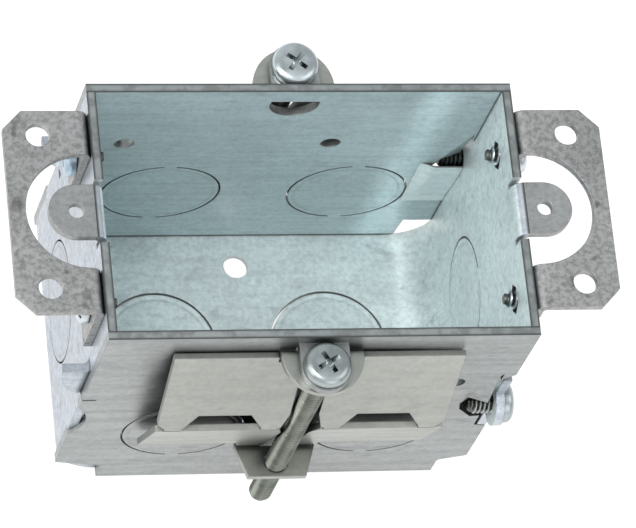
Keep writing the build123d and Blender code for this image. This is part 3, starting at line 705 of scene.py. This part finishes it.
def make_side(name, side, seed):
    """A side plate with its lip and its clamp strap."""
    outwards = (0, side, 0)
    rings = [((end * SIDE_PRY_X, side * SIDE_MIDDLE, SIDE_PRY_Z), 1) for end in (-1, 1)]
    plate = galvanised(f"galvanised_{name}_plate", PLATE_TINTS_INSIDE_PAINTED_LIT, outwards, PLATE_GRAIN, rings, mottle=0.7,
                       streak=0.9, rim=(1, SIDE_MIDDLE), plate=True, seed=seed)
    dress(f"{name}_side_plate", plate)
    lip = galvanised(f"galvanised_{name}_lip", LIP_TINTS_PAINTED_HIGHLIGHT, outwards, PLATE_GRAIN, mottle=0.5, streak=0.6,
                     seed=seed + 1)
    plate_lip(name, side, lip)
    if name == "far":
        notched_plate(plate)
    strap = galvanised(f"galvanised_{name}_strap", STRAP_TINTS_INSIDE_PAINTED_SHADE, outwards, STRAP_GRAIN, roughness=0.36,
                       mottle=0.45, streak=0.4, seed=seed + 2)
    for piece in ("lug", "upper_panel", "lower_panel", "nut_lug"):
        dress(f"{name}_strap_{piece}", strap)


def make_ear(name, seed):
    ear = galvanised(f"galvanised_{name}_ear", EAR_TINTS, (0, 0, 1), EAR_GRAIN, roughness=0.42, mottle=2.2,
                     seed=seed)
    dress(f"{name}_ear", ear)


def make_clamp_screw(name, turned, tints):
    node = f"{name}_clamp_screw"
    finish = bright_zinc(f"zinc_{node}", CLAMP_SCREW, tints, CLAMP_SHANK)
    machine_screw(node, node, (0, 0, 1), CLAMP_SCREW, finish, turned, False)


def make_gang_screw(name, turned, shank):
    node = f"{name}_gang_screw"
    finish = bright_zinc(f"zinc_{node}", GANG_SCREW, GANG_TINTS, shank)
    machine_screw(node, "root", (1, 0, 0), GANG_SCREW, finish, turned, True)


def make_ear_screw(end, side, name, turned):
    """One of the four ear screws; the far one at the left is bluer than the rest."""
    node = f"{end}_ear_screw_{name}"
    tints = BLUE_TINTS if node == "left_ear_screw_far" else SILVER_TINTS
    finish = bright_zinc(f"zinc_{node}", EAR_SCREW, tints, PLAIN_SHANK)
    machine_screw(node, "root", (side, 0, 0), EAR_SCREW, finish, turned, True)


def make_box():
    make_body()
    make_side("near", -1, 3.1)
    make_side("far", 1, 7.7)
    make_ear("left", 11.3)
    make_ear("right", 15.9)
    make_clamp_screw("near", 0.5, NEAR_CLAMP_TINTS)
    make_gang_screw("near", 0.5, NEAR_GANG_SHANK)
    make_clamp_screw("far", 0.9, FAR_CLAMP_TINTS)
    make_gang_screw("far", 0.9, FAR_GANG_SHANK_PAINTED_SHADE)
    for end, side in (("left", -1), ("right", 1)):
        make_ear_screw(end, side, "near", 0.3)
        make_ear_screw(end, side, "far", 1.1)


def make_ground():
    """White ground that still takes a soft shadow under the box."""
    bm = bmesh.new()
    bmesh.ops.create_grid(bm, x_segments=2, y_segments=2, size=GROUND_HALF)
    s = Shader(bpy.data.materials.new("white_ground"))
    path = s.add("LightPath")
    shown = s.maths("MAXIMUM", path.outputs["Is Camera Ray"], path.outputs["Is Glossy Ray"])
    diffuse = s.add("BsdfDiffuse", Color=GROUND_WHITE)
    glow = s.add("Emission", Color=rgb(1, 1, 1), Strength=GROUND_GLOW)
    both = s.add("MixShader", Fac=s.times(shown, GLOW_SHARE), _1=diffuse.outputs[0], _2=glow.outputs[0])
    ground = mesh_object("ground", bm, s.finish(both.outputs[0]))
    ground.location.z = GROUND_Z


def make_world():
    """White to the camera, and a dimmer, bluish light on the box."""
    world = bpy.data.worlds.new("white_world")
    bpy.context.scene.world = world
    s = Shader(world)
    seen = s.add("LightPath").outputs["Is Camera Ray"]
    ambient = s.add("Background", Color=SKY_TINT, Strength=SKY_STRENGTH)
    backdrop = s.add("Background", Color=rgb(1, 1, 1), Strength=1.0)
    both = s.add("MixShader", Fac=seen, _1=ambient.outputs[0], _2=backdrop.outputs[0])
    s.finish(both.outputs[0], "OutputWorld")


def lamp(name, place, target, size, watts):
    data = bpy.data.lights.new(name, "AREA")
    data.shape = "RECTANGLE"
    data.size, data.size_y = size
    data.energy = watts
    obj = bpy.data.objects.new(name, data)
    obj.location = place
    aim = Vector(target) - Vector(place)
    obj.rotation_mode = "QUATERNION"
    obj.rotation_quaternion = aim.to_track_quat("-Z", "Y")
    bpy.context.scene.collection.objects.link(obj)


def make_lights():
    lamp("left_softbox", (-0.75, -0.15, 0.55), LAMP_TARGET, size=(0.6, 0.8), watts=2.6)
    lamp("top_softbox", (0.60, -0.10, 0.80), LAMP_TARGET, size=(0.5, 0.5), watts=1.0)
    lamp("opening_light", (-0.36, -0.12, 0.90), OPENING_TARGET, size=(0.22, 0.22), watts=3.0)
    lamp("front_fill", (0.25, -0.8, 0.5), LAMP_TARGET, size=(0.6, 0.6), watts=1.2)


make_camera()
make_box()
make_ground()
make_world()
make_lights()
bpy.context.scene.view_settings.view_transform = "Standard"
